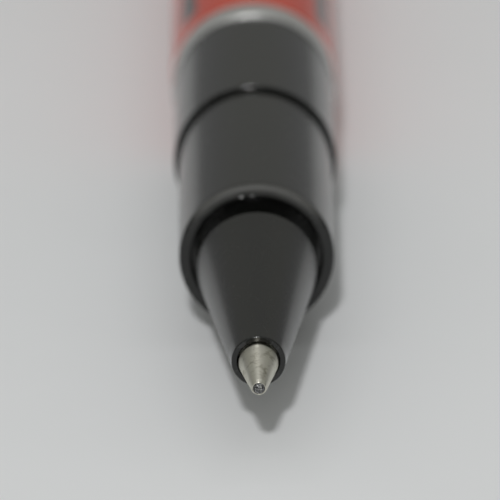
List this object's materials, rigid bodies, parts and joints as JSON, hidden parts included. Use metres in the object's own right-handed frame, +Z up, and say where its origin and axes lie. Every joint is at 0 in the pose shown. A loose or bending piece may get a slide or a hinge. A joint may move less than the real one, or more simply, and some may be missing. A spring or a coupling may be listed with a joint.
{
  "type": "capped rollerball pen",
  "caption": "Capped rollerball pen with a metal point in a black nose cone, a stepped black grip section, a silver ring and a red-orange barrel, its clip cap posted on the tail.",
  "frame": {"origin": "on the pen's axis, at the middle of the bare barrel between the trim ring and the tail, where a clamp or a loop holds the pen", "axes": "+Y along the pen's axis from the writing tip towards the cap's crown, +Z up with the pen lying on its side, +X to the right as seen from in front of the tip"},
  "size_m": [0.0135, 0.155, 0.0108],
  "materials": {
    "hard_ball": "polished carbide",
    "nickel_silver": "fine turned",
    "black_gloss": "glossy",
    "black_grip": "satin gloss",
    "trim_silver": "satin chrome",
    "red_lacquer": "red-orange lacquer with dark stripes",
    "brass_bush": "machined",
    "spring_steel": "drawn wire",
    "clip_chrome": "polished",
    "rubber_seal": "matte",
    "natural_plastic": "moulded, natural",
    "clear_tube": "translucent",
    "ink_blue": "liquid",
    "grease": "translucent grease",
    "liner_plastic": "moulded"
  },
  "bodies": {
    "barrel": {"barrel_tube": "red_lacquer", "thread_bush": "brass_bush", "tail_spigot": "black_gloss", "tail_plug": "black_gloss"},
    "ring": {"trim_ring": "trim_silver"},
    "section": {"grip_section": "black_grip", "section_collar": "black_grip", "nose_cone": "black_gloss", "seal_ring": "rubber_seal", "point_body": "nickel_silver", "refill_front": "natural_plastic", "ink_tube": "clear_tube", "ink_fill": "ink_blue", "ink_follower": "grease", "refill_end_plug": "natural_plastic", "refill_spring": "spring_steel"},
    "ball": {"writing_ball": "hard_ball"},
    "cap": {"cap_band": "trim_silver", "cap_shell": "red_lacquer", "inner_cap": "liner_plastic", "crown_bush": "brass_bush", "crown_stud": "spring_steel", "clip_ring": "clip_chrome", "cap_crown": "black_gloss"},
    "clip": {"clip_arm": "clip_chrome"}
  },
  "joints": [
    {"name": "section_travel", "type": "slide", "parent": "barrel", "child": "ring", "axis": [0, -1, 0], "range_m": [0, 0.0055]},
    {"name": "section_turn", "type": "hinge", "parent": "ring", "child": "section", "pos_m": [0, -0.02935, 0], "axis": [0, -1, 0], "range_deg": [0, 1981]},
    {"name": "ball_roll", "type": "hinge", "parent": "section", "child": "ball", "pos_m": [0, -0.0748, 0], "axis": [1, 0, 0], "continuous": true},
    {"name": "cap_pull", "type": "slide", "parent": "barrel", "child": "cap", "axis": [0, 1, 0], "range_m": [0, 0.025]},
    {"name": "clip_flex", "type": "hinge", "parent": "cap", "child": "clip", "pos_m": [0.00681, 0.07275, -0.0037], "axis": [0.4772, 0, 0.8788], "range_deg": [0, 3], "stiffness_Nm_per_rad": 0.9}
  ],
  "couplings": [
    {"joint": "section_turn", "follows": "section_travel", "rad_per_m": 6283.2}
  ]
}
